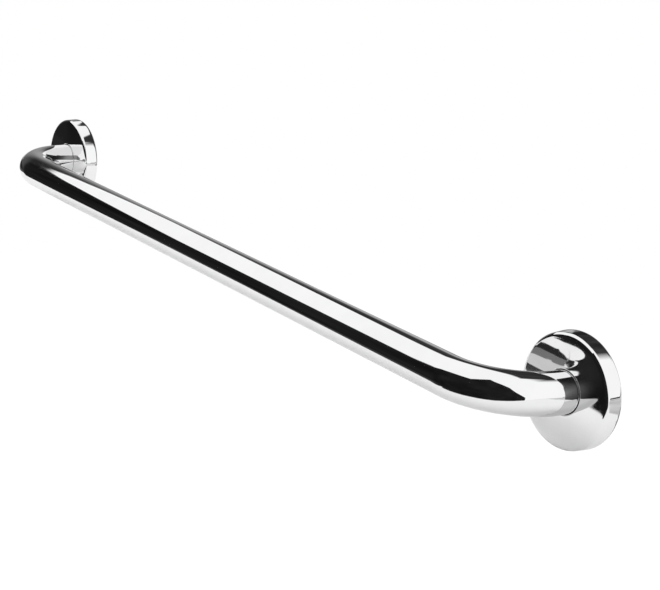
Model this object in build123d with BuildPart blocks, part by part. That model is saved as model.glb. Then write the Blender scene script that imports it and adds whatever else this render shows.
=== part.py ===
# Wall-mounted grab bar: one bent tube, welded at each end to a round wall plate,
# with a pressed cover over each plate. Millimetres.
# The wall is the XZ plane at y = 0, the bar stands out from it towards -Y, and +Z is up.
# The origin is on the wall, midway between the two fixing centres. The bar runs along X.

import os
from math import radians, tan

from build123d import *

# Grip tube
centre_distance = 600.0     # between the two fixing centres
axis_projection = 58.0      # from the wall to the middle of the grip
tube_diameter = 25.0
tube_wall = 1.2
bend_radius = 44.0          # of the tube's centre line

# Cover, pressed from sheet
cover_diameter = 67.8       # where the side would meet the wall
side_taper = 4.0            # degrees that the side leans in towards the face
cover_sheet = 0.6
rim_height = 12.1           # from the wall to the corner where side and face would meet
crown_rise = 0.3            # of the face, from that corner to the tube hole
front_edge_radius = 2.2     # between the side and the face
wall_edge_radius = 3.1      # between the side and the lip on the wall
lip_width = 4.0             # of the lip that is turned in along the wall
hole_bend_radius = 0.1      # inside the sheet, where the face turns down along the tube
collar_depth = 2.4          # of the turned-down edge
collar_clearance = 0.3      # between the tube and the collar

# Wall plate, stamped, with the tube let into it
plate_thickness = 3.0
plate_clearance = 0.9       # between the plate's edge and the cover's lip
seat_clearance = 0.05       # between the tube and the hole that it is let into
screw_count = 3
screw_hole_diameter = 5.5
nib_radius = 1.5            # of the nibs on the plate's edge that grip the cover's lip
nib_clearance = 0.05

# Weld bead between the tube and the plate
weld_leg = 2.5              # along the tube and along the plate
weld_throat = 1.1           # from the corner to the hollow face, measured along each leg

# Worked out from the sizes above
tube_radius = tube_diameter / 2
cover_radius = cover_diameter / 2
face_radius = cover_radius - rim_height * tan(radians(side_taper))
hole_radius = tube_radius + collar_clearance
hole_height = rim_height + crown_rise
hole_edge_radius = hole_bend_radius + cover_sheet
crown_middle_radius = (face_radius + hole_radius) / 2
crown_share = (crown_middle_radius**2 - hole_radius**2) / (face_radius**2 - hole_radius**2)
crown_middle_height = hole_height - crown_rise * crown_share
lip_inner_radius = cover_radius - lip_width
plate_radius = lip_inner_radius - plate_clearance
nib_circle_radius = lip_inner_radius - nib_clearance - nib_radius
screw_circle_radius = (tube_radius + weld_leg + plate_radius) / 2
screw_pitch = 360 / screw_count

os.makedirs("parts", exist_ok=True)

# Grip tube: out of the wall, round a bend, along the wall and back again
with BuildPart() as grip_tube:
    with BuildLine() as route:
        FilletPolyline(
            (-centre_distance / 2, 0, 0),
            (-centre_distance / 2, -axis_projection, 0),
            (centre_distance / 2, -axis_projection, 0),
            (centre_distance / 2, 0, 0),
            radius=bend_radius,
        )
    with BuildSketch(Plane(origin=route.line @ 0, z_dir=route.line % 0)):
        Circle(tube_radius)
        Circle(tube_radius - tube_wall, mode=Mode.SUBTRACT)
    sweep()
grip_tube.part.label = "grip_tube"
export_step(grip_tube.part, "parts/grip_tube.step")

for end, side in {"left": -1, "right": 1}.items():
    centre = (side * centre_distance / 2, 0, 0)
    out_of_wall = (0, -1, 0)
    wall = Plane(origin=centre, x_dir=(1, 0, 0), z_dir=out_of_wall)
    half_section = Plane(origin=centre, x_dir=(1, 0, 0), z_dir=(0, 0, -1))
    end_axis = Axis(centre, out_of_wall)

    # Cover: a lip on the wall, a tapered side, a slightly crowned face and a collar round the tube
    with BuildPart() as cover:
        with BuildSketch(half_section):
            with BuildLine() as outside:
                skirt = Polyline((lip_inner_radius, 0), (cover_radius, 0), (face_radius, rim_height))
                crown = ThreePointArc(
                    skirt @ 1,
                    (crown_middle_radius, crown_middle_height),
                    (hole_radius, hole_height),
                )
                Line(crown @ 1, (hole_radius, hole_height - collar_depth))
                fillet(outside.vertices().sort_by_distance((cover_radius, 0))[0], wall_edge_radius)
                fillet(outside.vertices().sort_by_distance((face_radius, rim_height))[0], front_edge_radius)
                fillet(outside.vertices().sort_by_distance((hole_radius, hole_height))[0], hole_edge_radius)
                offset(amount=cover_sheet, side=Side.LEFT)
            make_face()
        revolve(axis=end_axis)
    cover.part.label = f"{end}_cover"
    export_step(cover.part, f"parts/{end}_cover.step")

    # Wall plate: one screw faces away from the bar, and the nibs stand midway between the screws
    first_screw = 0 if side > 0 else 180
    with BuildPart() as wall_plate:
        with BuildSketch(wall):
            Circle(plate_radius)
            with PolarLocations(nib_circle_radius, screw_count, start_angle=first_screw + screw_pitch / 2):
                Circle(nib_radius)
            Circle(tube_radius + seat_clearance, mode=Mode.SUBTRACT)
            with PolarLocations(screw_circle_radius, screw_count, start_angle=first_screw):
                Circle(screw_hole_diameter / 2, mode=Mode.SUBTRACT)
        extrude(amount=plate_thickness)
    wall_plate.part.label = f"{end}_wall_plate"
    export_step(wall_plate.part, f"parts/{end}_wall_plate.step")

    # Weld bead: a hollow fillet in the corner between the tube and the plate
    with BuildPart() as weld_bead:
        with BuildSketch(half_section):
            with BuildLine():
                toe = Line((tube_radius, plate_thickness), (tube_radius + weld_leg, plate_thickness))
                face = ThreePointArc(
                    toe @ 1,
                    (tube_radius + weld_throat, plate_thickness + weld_throat),
                    (tube_radius, plate_thickness + weld_leg),
                )
                Line(face @ 1, toe @ 0)
            make_face()
        revolve(axis=end_axis)
    weld_bead.part.label = f"{end}_weld_bead"
    export_step(weld_bead.part, f"parts/{end}_weld_bead.step")
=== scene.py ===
import math

import bmesh
import bpy
from mathutils import Matrix, Vector


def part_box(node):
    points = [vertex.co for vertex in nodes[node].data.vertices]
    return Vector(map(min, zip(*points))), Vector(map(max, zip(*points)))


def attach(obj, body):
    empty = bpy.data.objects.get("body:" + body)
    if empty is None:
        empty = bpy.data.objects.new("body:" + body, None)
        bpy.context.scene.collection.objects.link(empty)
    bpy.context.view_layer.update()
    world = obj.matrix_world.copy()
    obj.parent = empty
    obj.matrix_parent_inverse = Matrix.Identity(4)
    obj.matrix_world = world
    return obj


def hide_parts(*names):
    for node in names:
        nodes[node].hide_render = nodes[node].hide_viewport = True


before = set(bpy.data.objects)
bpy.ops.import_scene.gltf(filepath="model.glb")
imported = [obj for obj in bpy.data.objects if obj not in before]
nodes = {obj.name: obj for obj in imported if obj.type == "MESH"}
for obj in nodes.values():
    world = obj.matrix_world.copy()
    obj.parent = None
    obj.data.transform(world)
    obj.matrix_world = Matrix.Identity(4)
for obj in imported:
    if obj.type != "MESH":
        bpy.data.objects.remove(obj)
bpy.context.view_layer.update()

mm = 0.001
mergeDistance = 0.001 * mm
smoothAngle = 40  # degrees between faces, past which an edge stays sharp
squareOn = 0.9  # least share of a normal along an axis for a face that lies square to it
white = (1.0, 1.0, 1.0, 1.0)
bpy.ops.object.select_all(action="DESELECT")
print("frame loaded,", len(nodes), "nodes")


# small helpers for working in edit mode without a window

def startEdit():
    bpy.ops.object.mode_set(mode="EDIT")
    bpy.ops.mesh.select_mode(type="VERT")


def endEdit():
    bpy.ops.object.mode_set(mode="OBJECT")


def pickVerts(test):
    # selects the vertices that pass the test, and the edges and faces between them
    bpy.ops.mesh.select_all(action="DESELECT")
    mesh = bmesh.from_edit_mesh(bpy.context.object.data)
    for vert in mesh.verts:
        if test(vert.co):
            vert.select_set(True)
    mesh.select_flush(True)
    bmesh.update_edit_mesh(bpy.context.object.data)


def pickFace(test):
    bpy.ops.mesh.select_mode(type="FACE")
    bpy.ops.mesh.select_all(action="DESELECT")
    mesh = bmesh.from_edit_mesh(bpy.context.object.data)
    for face in mesh.faces:
        if test(face):
            face.select_set(True)
    bmesh.update_edit_mesh(bpy.context.object.data)


def extrudeBy(move):
    bpy.ops.mesh.extrude_region_move(TRANSFORM_OT_translate={"value": move})


def applyPlace():
    bpy.ops.object.transform_apply(location=True, rotation=True, scale=True)


def tidyNormals():
    startEdit()
    bpy.ops.mesh.select_all(action="SELECT")
    bpy.ops.mesh.remove_doubles(threshold=mergeDistance)
    bpy.ops.mesh.normals_make_consistent(inside=False)
    endEdit()


def thicken(piece, wall):
    # gives a shell its wall on the inner side
    solidify = piece.modifiers.new("wall", "SOLIDIFY")
    solidify.thickness = wall
    solidify.offset = -1.0
    solidify.use_even_offset = True
    bpy.ops.object.modifier_apply(modifier=solidify.name)


def finishPiece(piece, name, node, material):
    piece.name = name
    piece.data.name = name
    bpy.ops.object.shade_smooth_by_angle(angle=math.radians(smoothAngle))
    piece.data.materials.clear()
    piece.data.materials.append(material)
    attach(piece, "root")
    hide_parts(node)
    piece.select_set(False)
    print(name, "stands for", node, "with", len(piece.data.polygons), "faces")


# small helpers for materials

def newMaterial(name):
    material = bpy.data.materials.new(name)
    material.use_nodes = True
    tree = material.node_tree
    return material, tree, tree.nodes["Principled BSDF"]


def newGroup(name, inputs, outputs):
    group = bpy.data.node_groups.new(name, "ShaderNodeTree")
    for socketName, socketType in inputs:
        group.interface.new_socket(socketName, in_out="INPUT", socket_type=socketType)
    for socketName, socketType in outputs:
        group.interface.new_socket(socketName, in_out="OUTPUT", socket_type=socketType)
    return group, group.nodes.new("NodeGroupInput"), group.nodes.new("NodeGroupOutput")


def addNode(tree, kind, **settings):
    node = tree.nodes.new(kind)
    for key, value in settings.items():
        setattr(node, key, value)
    return node


def feed(tree, value, socket):
    # links another node's output, or sets a number or a colour
    if isinstance(value, bpy.types.NodeSocket):
        tree.links.new(value, socket)
    else:
        socket.default_value = value


def addNoise(tree, vector, scale, detail, roughness):
    noise = addNode(tree, "ShaderNodeTexNoise")
    noise.inputs["Scale"].default_value = scale
    noise.inputs["Detail"].default_value = detail
    noise.inputs["Roughness"].default_value = roughness
    tree.links.new(vector, noise.inputs["Vector"])
    return noise.outputs["Fac"]


def addMath(tree, operation, first, second=None):
    result = addNode(tree, "ShaderNodeMath", operation=operation)
    feed(tree, first, result.inputs[0])
    if second is not None:
        feed(tree, second, result.inputs[1])
    return result.outputs[0]


def addRange(tree, value, fromSpan, toSpan, smooth=False):
    remap = addNode(tree, "ShaderNodeMapRange")
    remap.interpolation_type = "SMOOTHSTEP" if smooth else "LINEAR"
    feed(tree, value, remap.inputs["Value"])
    feed(tree, fromSpan[0], remap.inputs["From Min"])
    feed(tree, fromSpan[1], remap.inputs["From Max"])
    feed(tree, toSpan[0], remap.inputs["To Min"])
    feed(tree, toSpan[1], remap.inputs["To Max"])
    return remap.outputs["Result"]


def addRamp(tree, value, steps):
    ramp = addNode(tree, "ShaderNodeValToRGB")
    while len(ramp.color_ramp.elements) < len(steps):
        ramp.color_ramp.elements.new(0.5)
    for element, (position, colour) in zip(ramp.color_ramp.elements, steps):
        element.position = position
        element.color = (*colour, 1.0)
    tree.links.new(value, ramp.inputs["Fac"])
    return ramp.outputs["Color"]


def mixColours(tree, factor, first, second):
    mix = addNode(tree, "ShaderNodeMix", data_type="RGBA")
    colours = [socket for socket in mix.inputs if socket.type == "RGBA"]
    tree.links.new(factor, mix.inputs["Factor"])
    feed(tree, first, colours[0])
    feed(tree, second, colours[1])
    return [socket for socket in mix.outputs if socket.type == "RGBA"][0]


def addBump(tree, shader, height, strength, distance):
    bump = addNode(tree, "ShaderNodeBump")
    bump.inputs["Strength"].default_value = strength
    bump.inputs["Distance"].default_value = distance
    tree.links.new(height, bump.inputs["Height"])
    tree.links.new(bump.outputs["Normal"], shader.inputs["Normal"])


fullSpan = (0.0, 1.0)
noiseSpan = (0.3, 0.7)  # most of a noise's values lie in here


# polished steel of the tube and the covers

polishSettings = {
    "clean": (0.93, 0.93, 0.935, 1.0),
    "hazy": (0.90, 0.90, 0.905, 1.0),
    "smoothest": 0.03,
    "haziest": 0.05,
    "haze": (60.0, 5.0, 0.55),  # scale, detail and roughness of each noise
    "scratches": (900.0, 2.0, 0.5),
    "wave": (26.0, 1.0, 0.4),
    "scratchSpan": (0.45, 0.75),
    "scratchShare": 0.35,
    "waviness": 0.02,
    "waveHeight": 0.02 * mm,
}


def makePolishGroup():
    # haze, hair scratches and the faint waviness that buffing leaves
    group, groupIn, groupOut = newGroup(
        "buffedSurface",
        [
            ("Vector", "NodeSocketVector"),
            ("Smoothest", "NodeSocketFloat"),
            ("Haziest", "NodeSocketFloat"),
        ],
        [
            ("Roughness", "NodeSocketFloat"),
            ("Haze", "NodeSocketFloat"),
            ("Height", "NodeSocketFloat"),
        ],
    )
    vector = groupIn.outputs["Vector"]
    share = polishSettings["scratchShare"]
    haze = addNoise(group, vector, *polishSettings["haze"])
    haze = addRange(group, haze, noiseSpan, fullSpan, smooth=True)
    scratches = addNoise(group, vector, *polishSettings["scratches"])
    scratches = addRange(group, scratches, polishSettings["scratchSpan"], (0.0, share), smooth=True)
    total = addMath(group, "ADD", haze, scratches)
    roughSpan = (groupIn.outputs["Smoothest"], groupIn.outputs["Haziest"])
    rough = addRange(group, total, (0.0, 1.0 + share), roughSpan)
    wave = addNoise(group, vector, *polishSettings["wave"])
    group.links.new(rough, groupOut.inputs["Roughness"])
    group.links.new(haze, groupOut.inputs["Haze"])
    group.links.new(wave, groupOut.inputs["Height"])
    return group


def makePolishedSteel():
    material, tree, shader = newMaterial("polishedSteel")
    coords = addNode(tree, "ShaderNodeTexCoord")
    buffed = addNode(tree, "ShaderNodeGroup", node_tree=makePolishGroup())
    buffed.inputs["Smoothest"].default_value = polishSettings["smoothest"]
    buffed.inputs["Haziest"].default_value = polishSettings["haziest"]
    tree.links.new(coords.outputs["Object"], buffed.inputs["Vector"])
    colour = mixColours(tree, buffed.outputs["Haze"], polishSettings["clean"], polishSettings["hazy"])
    tree.links.new(colour, shader.inputs["Base Color"])
    tree.links.new(buffed.outputs["Roughness"], shader.inputs["Roughness"])
    shader.inputs["Metallic"].default_value = 1.0
    height = buffed.outputs["Height"]
    addBump(tree, shader, height, polishSettings["waviness"], polishSettings["waveHeight"])
    return material


polishedSteel = makePolishedSteel()
print("polished steel ready")


# grip tube: one length of round tube with two bends

tubeSettings = {
    "wall": 1.2 * mm,
    "bendRadius": 44.0 * mm,
    "around": 128,
    "bendSteps": 48,
    "legSteps": 3,
    "straightSteps": 32,
}


def makeGripTube():
    low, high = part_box("grip_tube")
    radius = (high.z - low.z) / 2
    halfSpan = high.x - radius
    axisY = low.y + radius
    bend = tubeSettings["bendRadius"]
    legEndY = axisY + bend
    leg = high.y - legEndY
    straight = 2 * (halfSpan - bend)
    legSteps = tubeSettings["legSteps"]
    straightSteps = tubeSettings["straightSteps"]

    def spinBend(centreX):
        bpy.ops.mesh.spin(
            steps=tubeSettings["bendSteps"],
            angle=math.radians(-90),
            center=(centreX, legEndY, 0),
            axis=(0, 0, 1),
        )

    bpy.ops.mesh.primitive_circle_add(
        vertices=tubeSettings["around"],
        radius=radius,
        location=(-halfSpan, high.y, 0),
        rotation=(math.radians(90), 0, 0),
    )
    tube = bpy.context.object
    applyPlace()
    startEdit()
    bpy.ops.mesh.select_all(action="SELECT")
    for step in range(legSteps):
        extrudeBy((0, -leg / legSteps, 0))
    spinBend(-halfSpan + bend)
    for step in range(straightSteps):
        extrudeBy((straight / straightSteps, 0, 0))
    spinBend(halfSpan - bend)
    for step in range(legSteps):
        extrudeBy((0, leg / legSteps, 0))
    endEdit()
    tidyNormals()
    thicken(tube, tubeSettings["wall"])
    finishPiece(tube, "gripTube", "grip_tube", polishedSteel)


makeGripTube()


# flange covers: pressed and polished cups round each end of the tube

coverSettings = {
    "sheet": 0.6 * mm,
    "rimHeight": 12.1 * mm,
    "sideTaper": 4.0,
    "crownRise": 0.3 * mm,
    "frontEdge": 2.2 * mm,
    "frontEdgeSteps": 24,
    "wallEdge": 3.1 * mm,
    "wallEdgeSteps": 16,
    "lip": 4.0 * mm,
    "holeRadius": 12.8 * mm,
    "holeEdge": 0.7 * mm,
    "holeEdgeSteps": 10,
    "collar": 2.4 * mm,
    "around": 256,
    "crownRings": 10,
    "firstRing": 4.0 * mm,
    "edgeSlack": 0.01 * mm,  # how far off an edge its vertices may lie when they are picked
    "edgeRadiusSlack": 0.2 * mm,
}


def makeCover(name, node):
    low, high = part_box(node)
    centre = Vector(((low.x + high.x) / 2, 0, (low.z + high.z) / 2))
    rim = coverSettings["rimHeight"]
    hole = coverSettings["holeRadius"]
    taper = math.radians(coverSettings["sideTaper"])
    wallEdge = coverSettings["wallEdge"]
    # the corners that the side would have without its rounded edges
    wallRadius = (high.x - low.x) / 2 + wallEdge * (1 / math.cos(taper) + math.tan(taper) - 1)
    radius = wallRadius - rim * math.tan(taper)

    def fromAxis(point):
        return math.hypot(point.x - centre.x, point.z - centre.z)

    def crownAt(ringRadius):
        return coverSettings["crownRise"] * (radius ** 2 - ringRadius ** 2) / (radius ** 2 - hole ** 2)

    bpy.ops.mesh.primitive_cone_add(
        vertices=coverSettings["around"],
        radius1=wallRadius,
        radius2=radius,
        depth=rim,
        location=(centre.x, high.y - rim / 2, centre.z),
        rotation=(math.radians(90), 0, 0),
    )
    cover = bpy.context.object
    applyPlace()
    startEdit()
    # the lip that turns in on the wall side
    pickFace(lambda face: face.normal.y > squareOn)
    bpy.ops.mesh.inset(thickness=coverSettings["lip"])
    bpy.ops.mesh.delete(type="FACE")
    # the slightly crowned face, ring by ring down to the hole
    middleY = high.y - rim / 2
    pickFace(lambda face: face.normal.y < -squareOn and face.calc_center_median().y < middleY)
    rings = coverSettings["crownRings"]
    outermost = radius - coverSettings["firstRing"]
    ringWidth = (outermost - hole) / (rings - 1)
    ringRadii = [radius] + [outermost - ringWidth * index for index in range(rings)]
    for outer, inner in zip(ringRadii, ringRadii[1:]):
        bpy.ops.mesh.inset(thickness=outer - inner, depth=crownAt(inner) - crownAt(outer))
    # the collar that runs back along the tube
    extrudeBy((0, coverSettings["collar"], 0))
    bpy.ops.mesh.delete(type="FACE")
    bpy.ops.mesh.select_mode(type="VERT")
    # each edge: its radius and place, and the angle between its two sides
    edges = {
        "frontEdge": (radius, high.y - rim, math.pi / 2 + taper),
        "wallEdge": (wallRadius, high.y, math.pi / 2 - taper),
        "holeEdge": (hole, high.y - rim - crownAt(ringRadii[-1]), math.pi / 2),
    }
    for edge, (edgeRadius, edgeY, corner) in edges.items():
        pickVerts(
            lambda point: abs(fromAxis(point) - edgeRadius) < coverSettings["edgeRadiusSlack"]
            and abs(point.y - edgeY) < coverSettings["edgeSlack"]
        )
        bpy.ops.mesh.bevel(
            offset=coverSettings[edge] / math.tan(corner / 2),
            segments=coverSettings[edge + "Steps"],
            profile=0.5,
            affect="EDGES",
            clamp_overlap=False,
        )
    endEdit()
    tidyNormals()
    thicken(cover, coverSettings["sheet"])
    finishPiece(cover, name, node, polishedSteel)


for side in ("left", "right"):
    makeCover(side + "Cover", side + "_cover")


# wall plates and weld beads keep their solids and get their finish here

def makeAroundTubeGroup():
    # angle and distance round the tube end that is nearer
    group, groupIn, groupOut = newGroup(
        "aroundTube",
        [("Vector", "NodeSocketVector"), ("Half Span", "NodeSocketFloat")],
        [("Turn", "NodeSocketFloat"), ("Distance", "NodeSocketFloat")],
    )
    split = addNode(group, "ShaderNodeSeparateXYZ")
    group.links.new(groupIn.outputs["Vector"], split.inputs[0])
    across = addMath(group, "ABSOLUTE", split.outputs["X"])
    across = addMath(group, "SUBTRACT", across, groupIn.outputs["Half Span"])
    upwards = split.outputs["Z"]
    acrossSquare = addMath(group, "POWER", across, 2)
    upwardsSquare = addMath(group, "POWER", upwards, 2)
    distance = addMath(group, "SQRT", addMath(group, "ADD", acrossSquare, upwardsSquare))
    group.links.new(addMath(group, "ARCTAN2", upwards, across), groupOut.inputs["Turn"])
    group.links.new(distance, groupOut.inputs["Distance"])
    return group


aroundTubeGroup = makeAroundTubeGroup()


def addAroundTube(tree, coords):
    around = addNode(tree, "ShaderNodeGroup", node_tree=aroundTubeGroup)
    low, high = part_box("grip_tube")
    around.inputs["Half Span"].default_value = high.x - (high.z - low.z) / 2
    tree.links.new(coords.outputs["Object"], around.inputs["Vector"])
    return around


plateSettings = {
    "rollStretch": (40.0, 900.0, 900.0),
    "grain": (1.0, 4.0, 0.6),  # scale, detail and roughness of each noise
    "blotch": (90.0, 4.0, 0.55),
    "light": (0.62, 0.62, 0.61),
    "dark": (0.43, 0.43, 0.425),
    "roughFrom": (0.1, 0.6),
    "roughTo": (0.26, 0.44),
    "grainBump": 0.25,
    "grainHeight": 0.05 * mm,
    "heatReach": (13.0 * mm, 25.0 * mm),
    "heatUneven": (-2.0 * mm, 2.0 * mm),
    "heatStrength": 0.8,
    "heat": [
        (0.0, (0.30, 0.33, 0.42)),
        (0.3, (0.36, 0.27, 0.33)),
        (0.55, (0.55, 0.42, 0.26)),
        (0.8, (0.63, 0.57, 0.45)),
        (1.0, (0.62, 0.62, 0.61)),
    ],
}


def makePlateSteel():
    material, tree, shader = newMaterial("plateSteel")
    coords = addNode(tree, "ShaderNodeTexCoord")
    stretch = addNode(tree, "ShaderNodeMapping")
    stretch.inputs["Scale"].default_value = plateSettings["rollStretch"]
    tree.links.new(coords.outputs["Object"], stretch.inputs["Vector"])
    grain = addNoise(tree, stretch.outputs["Vector"], *plateSettings["grain"])
    blotch = addNoise(tree, coords.outputs["Object"], *plateSettings["blotch"])
    streaks = addRange(tree, grain, noiseSpan, fullSpan, smooth=True)
    rolled = addRamp(tree, streaks, [(0.0, plateSettings["dark"]), (1.0, plateSettings["light"])])
    # heat colours fade out from the weld, uneven round the tube
    around = addAroundTube(tree, coords)
    uneven = addRange(tree, blotch, noiseSpan, plateSettings["heatUneven"])
    reach = addMath(tree, "ADD", around.outputs["Distance"], uneven)
    reach = addRange(tree, reach, plateSettings["heatReach"], fullSpan)
    tint = addRamp(tree, reach, plateSettings["heat"])
    tinted = addRange(tree, reach, fullSpan, (plateSettings["heatStrength"], 0.0), smooth=True)
    tree.links.new(mixColours(tree, tinted, rolled, tint), shader.inputs["Base Color"])
    rough = addMath(tree, "MULTIPLY", streaks, blotch)
    rough = addRange(tree, rough, plateSettings["roughFrom"], plateSettings["roughTo"])
    tree.links.new(rough, shader.inputs["Roughness"])
    shader.inputs["Metallic"].default_value = 1.0
    addBump(tree, shader, grain, plateSettings["grainBump"], plateSettings["grainHeight"])
    return material


weldSettings = {
    "ripples": 56.0,
    "rippleBump": 0.8,
    "rippleHeight": 0.16 * mm,
    "blotch": (260.0, 4.0, 0.6),  # scale, detail and roughness of the noise
    "waver": 1.6,
    "shadeFrom": (0.0, 0.6),
    "roughTo": (0.5, 0.3),
    "colours": [
        (0.0, (0.25, 0.23, 0.23)),
        (0.35, (0.42, 0.37, 0.31)),
        (0.7, (0.56, 0.53, 0.49)),
        (1.0, (0.66, 0.65, 0.63)),
    ],
}


def makeWeldMetal():
    material, tree, shader = newMaterial("weldMetal")
    coords = addNode(tree, "ShaderNodeTexCoord")
    around = addAroundTube(tree, coords)
    blotch = addNoise(tree, coords.outputs["Object"], *weldSettings["blotch"])
    # overlapping scales of the bead, a saw tooth round the tube
    waver = addMath(tree, "MULTIPLY", blotch, weldSettings["waver"])
    turns = addMath(tree, "MULTIPLY", around.outputs["Turn"], weldSettings["ripples"] / math.tau)
    scales = addMath(tree, "FRACT", addMath(tree, "ADD", turns, waver))
    shade = addMath(tree, "MULTIPLY", scales, blotch)
    shade = addRange(tree, shade, weldSettings["shadeFrom"], fullSpan)
    tree.links.new(addRamp(tree, shade, weldSettings["colours"]), shader.inputs["Base Color"])
    rough = addRange(tree, scales, fullSpan, weldSettings["roughTo"])
    tree.links.new(rough, shader.inputs["Roughness"])
    shader.inputs["Metallic"].default_value = 1.0
    addBump(tree, shader, scales, weldSettings["rippleBump"], weldSettings["rippleHeight"])
    return material


plateSteel = makePlateSteel()
weldMetal = makeWeldMetal()
for side in ("left", "right"):
    for node, material in (("_wall_plate", plateSteel), ("_weld_bead", weldMetal)):
        nodes[side + node].data.materials.clear()
        nodes[side + node].data.materials.append(material)
print("plates and welds finished")


# studio: white surroundings, a pale floor and one soft lamp

studioSettings = {
    "floorZ": -0.62,
    "floorRadius": 2.4,
    "floorFade": 0.9,
    "floorSides": 96,
    "floorColour": (0.96, 0.96, 0.96, 1.0),
    "floorRoughness": 0.9,
    "ambient": 0.78,
    "lampPower": 60.0,
    "lampSize": 3.4,
    "lampPlace": (-0.3, 0.2, 2.6),
}


def makeWorld():
    world = bpy.data.worlds.new("studioWorld")
    bpy.context.scene.world = world
    world.use_nodes = True
    tree = world.node_tree
    tree.nodes.clear()
    rays = addNode(tree, "ShaderNodeLightPath")
    seen = addMath(tree, "ADD", rays.outputs["Is Camera Ray"], rays.outputs["Is Glossy Ray"])
    seen = addMath(tree, "ADD", seen, rays.outputs["Is Transmission Ray"])
    mix = addNode(tree, "ShaderNodeMixShader")
    tree.links.new(addMath(tree, "MINIMUM", seen, 1.0), mix.inputs["Fac"])
    # what lights the object, and what is seen past it and in it
    for socket, strength in ((mix.inputs[1], studioSettings["ambient"]), (mix.inputs[2], 1.0)):
        background = addNode(tree, "ShaderNodeBackground")
        background.inputs["Color"].default_value = white
        background.inputs["Strength"].default_value = strength
        tree.links.new(background.outputs["Background"], socket)
    out = addNode(tree, "ShaderNodeOutputWorld")
    tree.links.new(mix.outputs["Shader"], out.inputs["Surface"])


def fadeOut(tree, solid, surface):
    # lets a surface fade into clear where solid goes to 0
    out = tree.nodes["Material Output"]
    clear = addNode(tree, "ShaderNodeBsdfTransparent")
    mix = addNode(tree, "ShaderNodeMixShader")
    tree.links.new(solid, mix.inputs["Fac"])
    tree.links.new(clear.outputs[0], mix.inputs[1])
    tree.links.new(surface, mix.inputs[2])
    tree.links.new(mix.outputs[0], out.inputs["Surface"])


def makeMatt(shader, colour, roughness):
    shader.inputs["Base Color"].default_value = colour
    shader.inputs["Roughness"].default_value = roughness
    shader.inputs["Specular IOR Level"].default_value = 0.0


def makeFloor():
    bpy.ops.mesh.primitive_circle_add(
        vertices=studioSettings["floorSides"],
        radius=studioSettings["floorRadius"],
        fill_type="NGON",
        location=(0, 0, studioSettings["floorZ"]),
    )
    floor = bpy.context.object
    floor.name = "studioFloor"
    applyPlace()
    material, tree, shader = newMaterial("floorPaper")
    makeMatt(shader, studioSettings["floorColour"], studioSettings["floorRoughness"])
    coords = addNode(tree, "ShaderNodeTexCoord")
    length = addNode(tree, "ShaderNodeVectorMath", operation="LENGTH")
    tree.links.new(coords.outputs["Object"], length.inputs[0])
    fadeSpan = (studioSettings["floorFade"], studioSettings["floorRadius"])
    solid = addRange(tree, length.outputs["Value"], fadeSpan, (1.0, 0.0), smooth=True)
    fadeOut(tree, solid, shader.outputs["BSDF"])
    floor.data.materials.append(material)
    floor.select_set(False)


def makeLamp():
    light = bpy.data.lights.new("softbox", "AREA")
    light.energy = studioSettings["lampPower"]
    light.shape = "SQUARE"
    light.size = studioSettings["lampSize"]
    lamp = bpy.data.objects.new("softbox", light)
    lamp.location = studioSettings["lampPlace"]
    lamp.visible_camera = False
    lamp.visible_glossy = False
    bpy.context.scene.collection.objects.link(lamp)


makeWorld()
makeFloor()
makeLamp()
print("world, floor and lamp ready")


# the table and the cards round the bar, which only the mirror images in the steel show; the glowing cards
# are painted reflections of the room's light and shade

# a card can keep to a plain mirror image ("first"), to the mirror image of a mirror image ("second"),
# or to every image after the first ("later") or the second ("last")
bounceTests = {
    "first": ("LESS_THAN", 1.5),
    "second": ("COMPARE", 2.0),
    "later": ("GREATER_THAN", 1.5),
    "last": ("GREATER_THAN", 2.5),
}


def cutCard(name, corners, soft, bounces=None):
    # a flat card with a soft edge
    mesh = bpy.data.meshes.new(name)
    mesh.from_pydata(corners, [], [range(len(corners))])
    card = bpy.data.objects.new(name, mesh)
    bpy.context.scene.collection.objects.link(card)
    bpy.context.view_layer.objects.active = card
    card.select_set(True)
    startEdit()
    pickFace(lambda face: True)
    bpy.ops.mesh.inset(thickness=soft)
    edit = bmesh.from_edit_mesh(mesh)
    layer = edit.verts.layers.float.new("solid")
    for vert in edit.verts:
        vert[layer] = 1.0 if vert.select else 0.0
    bmesh.update_edit_mesh(mesh)
    endEdit()
    card.select_set(False)
    card.visible_camera = False
    card.visible_diffuse = False
    card.visible_shadow = False
    card.visible_transmission = False
    material, tree, shader = newMaterial(name)
    mesh.materials.append(material)
    solid = addNode(tree, "ShaderNodeAttribute", attribute_name="solid").outputs["Fac"]
    if bounces:
        test, depth = bounceTests[bounces]
        rays = addNode(tree, "ShaderNodeLightPath")
        shown = addMath(tree, test, rays.outputs["Ray Depth"], depth)
        solid = addMath(tree, "MULTIPLY", solid, shown)
    return tree, shader, solid


# painted shade of the glowing cards: how uneven it is, and the greys of the black and the dark parts of the
# room
paintedShadeSettings = {
    "noise": (3.0, 5.0, 0.6),  # scale, detail and roughness
    "darkest": 0.5,  # shares of the painted shade
    "lightest": 1.8,
    "black": 0.010,
    "dark": 0.028,
}


def addUnevenPaintedShade(tree, coords, shade):
    # painted shade for a glowing card that only reflections show, a little uneven at random
    uneven = addNoise(tree, coords.outputs["Object"], *paintedShadeSettings["noise"])
    share = addRange(tree, uneven, noiseSpan, fullSpan)
    low = shade * paintedShadeSettings["darkest"]
    high = shade * paintedShadeSettings["lightest"]
    return mixColours(tree, share, (low, low, low, 1.0), (high, high, high, 1.0))


def addShade(tree, place, steps):
    # greys along a distance, steps = (distance, grey) pairs
    low = steps[0][0]
    high = steps[-1][0]
    share = addRange(tree, place, (low, high), fullSpan)
    greys = [((step - low) / (high - low), (grey, grey, grey)) for step, grey in steps]
    return addRamp(tree, share, greys)


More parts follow.
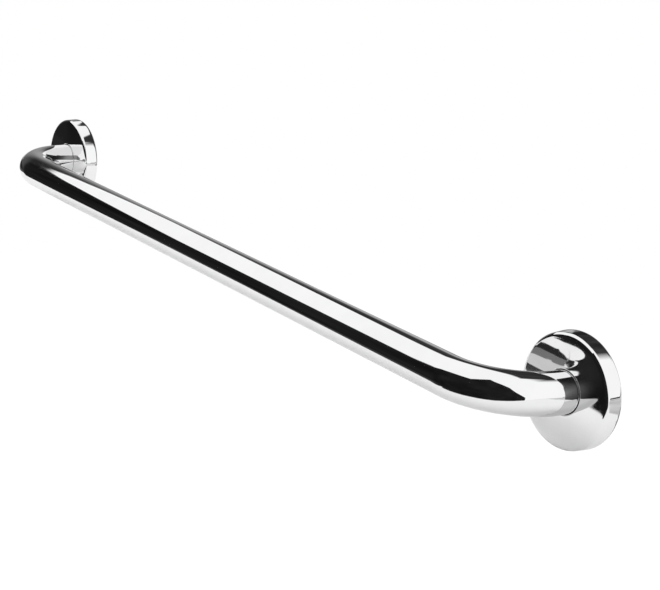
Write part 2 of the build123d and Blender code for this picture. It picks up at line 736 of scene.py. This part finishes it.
def makeCard(name, card):
    # an outline gives the two coordinates across the axis that the card faces along
    turn = "XYZ".index(card["faces"])
    corners = [point[:turn] + (card["at"],) + point[turn:] for point in card["outline"]]
    tree, shader, solid = cutCard(name, corners, card["soft"], card.get("bounces"))
    tree.nodes.remove(shader)
    coords = addNode(tree, "ShaderNodeTexCoord")
    split = addNode(tree, "ShaderNodeSeparateXYZ")
    tree.links.new(coords.outputs["Object"], split.inputs[0])
    glow = addNode(tree, "ShaderNodeEmission")
    glow.inputs["Color"].default_value = white
    glow.inputs["Strength"].default_value = card.get("grey", 1.0)
    if "paintedShade" in card:
        tree.links.new(addUnevenPaintedShade(tree, coords, card["paintedShade"]), glow.inputs["Color"])
    if "upwards" in card:
        tree.links.new(addShade(tree, split.outputs["Z"], card["upwards"]), glow.inputs["Color"])
    if "along" in card:
        tree.links.new(addShade(tree, split.outputs["X"], card["along"]), glow.inputs["Strength"])
    if "inwards" in card:
        tree.links.new(addShade(tree, split.outputs["Y"], card["inwards"]), glow.inputs["Strength"])
    fadeOut(tree, solid, glow.outputs[0])


# painted shade of the left wall as the reflections show it: it goes from black at the front to grey at the
# back, and darkens upwards
leftUpwards = [
    (-0.75, 1.0), (0.25, 0.97), (0.45, 0.6), (0.6, 0.27), (0.75, 0.14), (0.9, 0.075), (1.12, 0.07),
]
leftInwards = [
    (-0.70, 0.010), (-0.42, 0.016), (-0.22, 0.07), (0.05, 0.09),
    (0.15, 0.15), (0.4, 0.3), (0.8, 0.4), (1.17, 0.42),
]

# glowing cards that paint the walls and ceiling of a dim room into the reflections, the cards a little apart
# where they overlap
roomCards = {
    "frontCard": {
        "faces": "Y",
        "at": -0.55,
        "soft": 0.02,
        "paintedShade": paintedShadeSettings["black"],
        "bounces": "first",
        "outline": [
            (-1.50, -0.75), (1.72, -0.75), (1.72, 0.01), (1.36, 0.267), (1.16, 0.43),
            (1.05, 0.575), (0.97, 0.735), (0.75, 0.89), (0.55, 1.015), (0.42, 1.22),
            (0.322, 0.745), (0.25, 0.505), (-0.03, 0.475), (-0.21, 0.432), (-0.33, 0.362),
            (-0.335, 0.284), (-0.83, 0.297), (-0.92, 0.328), (-1.26, 0.482), (-1.50, 0.607),
        ],
    },
    "leftCard": {
        "faces": "X",
        "at": -1.35,
        "soft": 0.016,
        "bounces": "first",
        "upwards": leftUpwards,
        "inwards": leftInwards,
        "outline": [
            (-0.70, -0.75), (0.30, -0.75), (1.17, -0.35), (1.17, 1.12), (0.64, 1.12),
            (0.59, 0.61), (0.50, 0.61), (0.20, 0.67), (0.0, 0.665), (-0.20, 0.637),
            (-0.40, 0.565), (-0.56, 0.505), (-0.70, 0.465),
        ],
    },
    "cornerCard": {
        "faces": "X",
        "at": -1.355,
        "soft": 0.05,
        "upwards": [
            (-0.35, 0.5), (0.1, 0.48), (0.3, 0.42), (0.5, 0.32),
            (0.65, 0.21), (0.75, 0.12), (0.85, 0.06), (1.12, 0.03),
        ],
        "outline": [(1.10, -0.35), (1.45, -0.35), (1.45, 1.12), (1.10, 1.12)],
    },
    "backCard": {
        "faces": "Y",
        "at": 1.31,
        "soft": 0.05,
        "upwards": [
            (-0.35, 0.20), (0.42, 0.19), (0.5, 0.15), (0.6, 0.03), (0.75, 0.018), (1.05, 0.018),
        ],
        "outline": [(-1.45, -0.35), (0.05, -0.35), (0.20, 0.40), (0.44, 1.10), (-1.45, 1.10)],
    },
    "backCornerCard": {
        "faces": "Y",
        "at": 1.30,
        "soft": 0.03,
        "upwards": [
            (-0.35, 0.47), (0.3, 0.45), (0.45, 0.42), (0.65, 0.27), (0.75, 0.12), (0.85, 0.05), (1.12, 0.04),
        ],
        "outline": [(-1.45, -0.35), (-1.06, -0.35), (-1.06, 1.12), (-1.45, 1.12)],
    },
    "topCard": {
        "faces": "Z",
        "at": 1.02,
        "soft": 0.04,
        "paintedShade": paintedShadeSettings["dark"],
        "outline": [
            (-1.50, 0.70), (-1.32, 0.618), (-1.17, 0.533), (-0.93, 0.428), (-0.87, 0.46),
            (-0.80, 0.595), (-0.70, 0.655), (-0.51, 0.567), (0.09, 0.253), (0.28, 0.16),
            (0.32, 0.45), (0.34, 0.80), (0.34, 1.42), (-1.50, 1.42),
        ],
    },
    "topSideCard": {
        "faces": "Z",
        "at": 1.03,
        "soft": 0.27,
        "paintedShade": paintedShadeSettings["dark"],
        "outline": [(0.02, 0.22), (0.60, 0.22), (0.76, 1.60), (0.02, 1.60)],
    },
}

# the same painted room as the second and later mirror images show it
roomLaterCards = {
    "frontLaterCard": {
        "faces": "Y",
        "at": -0.555,
        "soft": 0.02,
        "bounces": "later",
        "upwards": [
            (-0.75, 0.35), (-0.2, 0.4), (0.0, 0.6), (0.3, 1.0), (0.45, 0.9), (0.65, 0.6), (1.1, 0.8),
        ],
        "along": [
            (-1.5, 0.02), (0.45, 0.02), (0.6, 0.04), (0.8, 0.1),
            (1.0, 0.14), (1.2, 0.18), (1.4, 0.22), (1.9, 0.24),
        ],
        "outline": [
            (-1.50, -0.75), (1.90, -0.75), (1.90, 0.75), (1.30, 0.75), (1.05, 0.80),
            (0.70, 1.0), (0.45, 1.1), (0.30, 0.90), (0.20, 0.50), (0.05, 0.43),
            (-0.10, 0.36), (-0.24, 0.29), (-0.34, 0.22), (-0.46, 0.13), (-1.50, 0.15),
        ],
    },
    "leftLaterCard": {
        "faces": "X",
        "at": -1.355,
        "soft": 0.016,
        "bounces": "later",
        "upwards": leftUpwards,
        "inwards": leftInwards,
        "outline": [
            (-0.70, -0.75), (0.30, -0.75), (1.17, -0.35), (1.17, 1.12), (0.64, 1.12), (0.59, 0.61),
            (0.30, 0.60), (0.10, 0.50), (-0.05, 0.39), (-0.30, 0.30), (-0.70, 0.20),
        ],
    },
    # painted dark edge of the white reflected shape at the top of the near cover's face
    "lensEdgeCard": {
        "faces": "Y",
        "at": -0.56,
        "soft": 0.01,
        "paintedShade": paintedShadeSettings["black"],
        "bounces": "second",
        "outline": [
            (-0.08, 0.15), (-0.15, 0.39), (-0.24, 0.49), (-0.46, 0.82), (-0.62, 0.86),
            (-0.40, 0.49), (-0.32, 0.385), (-0.265, 0.30), (-0.265, 0.20),
        ],
    },
}

# painted reflections: the dark band across the far cover's face, and the light above it
farCards = {
    "farLaterCard": {
        "faces": "Y",
        "at": -0.1,
        "soft": 0.004,
        "bounces": "later",
        "along": [
            (-0.40, 0.012), (-0.29, 0.015), (-0.266, 0.025), (-0.235, 0.08),
            (-0.20, 0.23), (-0.14, 0.28), (-0.05, 0.16),
        ],
        "outline": [
            (-0.40, 0.013), (-0.09, 0.013), (-0.09, 0.145), (-0.16, 0.112), (-0.20, 0.09),
            (-0.235, 0.0745), (-0.266, 0.064), (-0.30, 0.0595), (-0.336, 0.06), (-0.40, 0.057),
        ],
    },
    "farBrightCard": {
        "faces": "Y",
        "at": -0.101,
        "soft": 0.004,
        "bounces": "later",
        "grey": 0.85,
        "outline": [
            (-0.40, 0.059), (-0.336, 0.062), (-0.30, 0.0615), (-0.266, 0.066), (-0.235, 0.0765),
            (-0.20, 0.092), (-0.16, 0.114), (-0.09, 0.147), (-0.09, 0.30), (-0.40, 0.30),
        ],
    },
}

tableSettings = {
    "rearZ": -0.0345,
    "frontZ": -0.055,
    "soft": 0.005,
    "colour": (0.62, 0.62, 0.62, 1.0),
    "roughness": 0.9,
    # painted glow added all over the table, which makes its shadow under the bar lighter
    "glow": 0.12,
    "front": [
        (-0.47, -0.12), (-0.33, -0.125), (-0.21, -0.142), (-0.05, -0.146), (0.10, -0.137),
        (0.195, -0.133), (0.207, -0.137), (0.214, -0.1465), (0.2235, -0.133), (0.24, -0.131),
        (0.29, -0.131), (0.34, -0.1245), (1.70, -0.124),
    ],
    "rear": [
        (1.70, 0.055), (0.33, 0.05), (0.26, 0.022), (0.14, 0.03), (0.07, 0.13), (-0.10, 0.20), (-0.50, 0.30),
    ],
}
tableZ = tableSettings["rearZ"]

# the near cover shows the leg, and the leg shows what lies to its left; these glowing cards paint the shade
# and the leg's shadow into those reflections
nearCards = {
    # painted shadow of the near leg on the table, darker below the leg
    "nearTableCard": {
        "faces": "Z",
        "at": tableZ + 0.0005,
        "soft": 0.002,
        "bounces": "second",
        "along": [
            (-0.05, 0.66), (0.22, 0.66), (0.29, 0.51), (0.314, 0.51), (0.335, 0.62), (0.40, 0.62),
        ],
        "outline": [(0.40, -0.092), (0.40, 0.07), (-0.05, 0.07), (-0.05, -0.092)],
    },
    "nearBlackCard": {
        "faces": "X",
        "at": 0.05,
        "soft": 0.002,
        "bounces": "second",
        "grey": 0.024,
        "outline": [
            (0.185, 0.09), (0.164, 0.077), (0.139, 0.064), (0.085, 0.046), (0.039, 0.038),
            (-0.005, 0.034), (-0.056, 0.03), (-0.056, 0.04), (-0.038, 0.059), (0.003, 0.105),
            (0.036, 0.139), (0.064, 0.181), (0.075, 0.205), (0.185, 0.205),
        ],
    },
    "nearGreyCard": {
        "faces": "X",
        "at": 0.049,
        "soft": 0.002,
        "bounces": "second",
        "grey": 0.19,
        "outline": [
            (0.185, -0.033), (-0.066, -0.033), (-0.066, 0.029), (-0.005, 0.034), (0.039, 0.038),
            (0.085, 0.046), (0.139, 0.064), (0.164, 0.077), (0.185, 0.09),
        ],
    },
    "nearGroundCard": {
        "faces": "Z",
        "at": tableZ + 0.001,
        "soft": 0.002,
        "bounces": "second",
        "grey": 0.19,
        "outline": [
            (0.16, 0.05), (0.179, 0.028), (0.17, 0.013), (0.15, 0.003), (0.123, -0.016),
            (0.085, -0.05), (0.04, -0.07), (0.04, 0.22), (0.15, 0.22),
        ],
    },
    # painted dark swirl low on the near cover, seen after three mirrors
    "swirlCard": {
        "faces": "X",
        "at": 0.045,
        "soft": 0.006,
        "bounces": "last",
        "grey": 0.03,
        "outline": [(0.0, 0.01), (0.0, 0.11), (-0.138, 0.11), (-0.138, 0.01)],
    },
}

# painted shade of the ground round the table as the reflections show it, each card a little lower than the
# one before
groundCards = {
    "behindCard": {
        "faces": "Z",
        "at": tableZ - 0.0004,
        "soft": 0.01,
        "paintedShade": 0.19,
        "outline": [
            (0.36, 0.03), (0.26, 0.005), (0.13, 0.01), (0.05, 0.115), (-0.12, 0.18), (-0.50, 0.27),
            (-1.30, 0.55), (-1.30, 1.28), (-0.60, 1.28), (0.16, 0.135), (0.36, 0.12),
        ],
    },
    "sideCard": {
        "faces": "Z",
        "at": tableZ - 0.0008,
        "soft": 0.01,
        "paintedShade": 0.50,
        "outline": [(0.32, 0.04), (1.70, 0.04), (1.70, 1.28), (0.32, 1.28)],
    },
    "leftGroundCard": {
        "faces": "Z",
        "at": tableZ - 0.0010,
        "soft": 0.01,
        "paintedShade": 0.02,
        "outline": [(-1.40, -0.20), (-0.48, -0.13), (-0.48, 0.07), (-1.40, 0.12)],
    },
    "leftBackGroundCard": {
        "faces": "Z",
        "at": tableZ - 0.0012,
        "soft": 0.01,
        "paintedShade": 0.72,
        "outline": [(-1.40, 0.10), (-0.48, 0.05), (-0.48, 0.26), (-1.40, 0.60)],
    },
    # painted dim glow in front of the table's edge
    "frontGroundCard": {
        "faces": "Z",
        "at": tableZ - 0.022,
        "soft": 0.036,
        "paintedShade": 0.05,
        "outline": [(-0.25, -0.19), (0.20, -0.175), (0.20, -0.10), (-0.25, -0.10)],
    },
    # a thin painted dark strip that stands behind on the right
    "tableEdge": {
        "faces": "Y",
        "at": 0.90,
        "soft": 0.003,
        "paintedShade": paintedShadeSettings["dark"],
        "outline": [(0.45, -0.034), (2.30, -0.034), (2.30, 0.016), (0.45, 0.016)],
    },
}


def makeTable():
    # lower at the front than at the rear, lit by the lamp, with a painted glow added on top
    corners = [(x, y, tableSettings["frontZ"]) for x, y in tableSettings["front"]]
    corners += [(x, y, tableSettings["rearZ"]) for x, y in tableSettings["rear"]]
    tree, shader, solid = cutCard("tableCard", corners, tableSettings["soft"])
    makeMatt(shader, tableSettings["colour"], tableSettings["roughness"])
    shader.inputs["Emission Color"].default_value = white
    shader.inputs["Emission Strength"].default_value = tableSettings["glow"]
    fadeOut(tree, solid, shader.outputs["BSDF"])


makeTable()
for cards in (roomCards, roomLaterCards, farCards, nearCards, groundCards):
    for name, card in cards.items():
        makeCard(name, card)
print("table and cards set")


# camera at the photograph's angle

cameraSettings = {
    "place": (0.84246, -0.60013, 0.26923),
    "azimuth": 52.2551,
    "elevation": 16.1098,
    "roll": 5.9219,
    "focalPixels": 1514.4164,
    "imageWidth": 660,
    "sensor": 36.0,
    "clipStart": 0.01,
}


def makeCamera():
    azimuth = math.radians(cameraSettings["azimuth"])
    elevation = math.radians(cameraSettings["elevation"])
    roll = math.radians(cameraSettings["roll"])
    flat = math.cos(elevation)
    back = Vector((math.sin(azimuth) * flat, -math.cos(azimuth) * flat, math.sin(elevation)))
    right = Vector((math.cos(azimuth), math.sin(azimuth), 0.0))
    up = right.cross(-back)
    turnedRight = right * math.cos(roll) + up * math.sin(roll)
    turnedUp = up * math.cos(roll) - right * math.sin(roll)
    camera = bpy.data.objects.new("camera", bpy.data.cameras.new("camera"))
    sensor = cameraSettings["sensor"]
    camera.data.sensor_width = sensor
    camera.data.sensor_fit = "HORIZONTAL"
    camera.data.lens = cameraSettings["focalPixels"] / cameraSettings["imageWidth"] * sensor
    camera.data.clip_start = cameraSettings["clipStart"]
    turn = Matrix((turnedRight, turnedUp, back)).transposed()
    camera.matrix_world = Matrix.Translation(cameraSettings["place"]) @ turn.to_4x4()
    bpy.context.scene.collection.objects.link(camera)
    bpy.context.scene.camera = camera


makeCamera()
bpy.context.scene.view_settings.view_transform = "Standard"
print("camera placed")
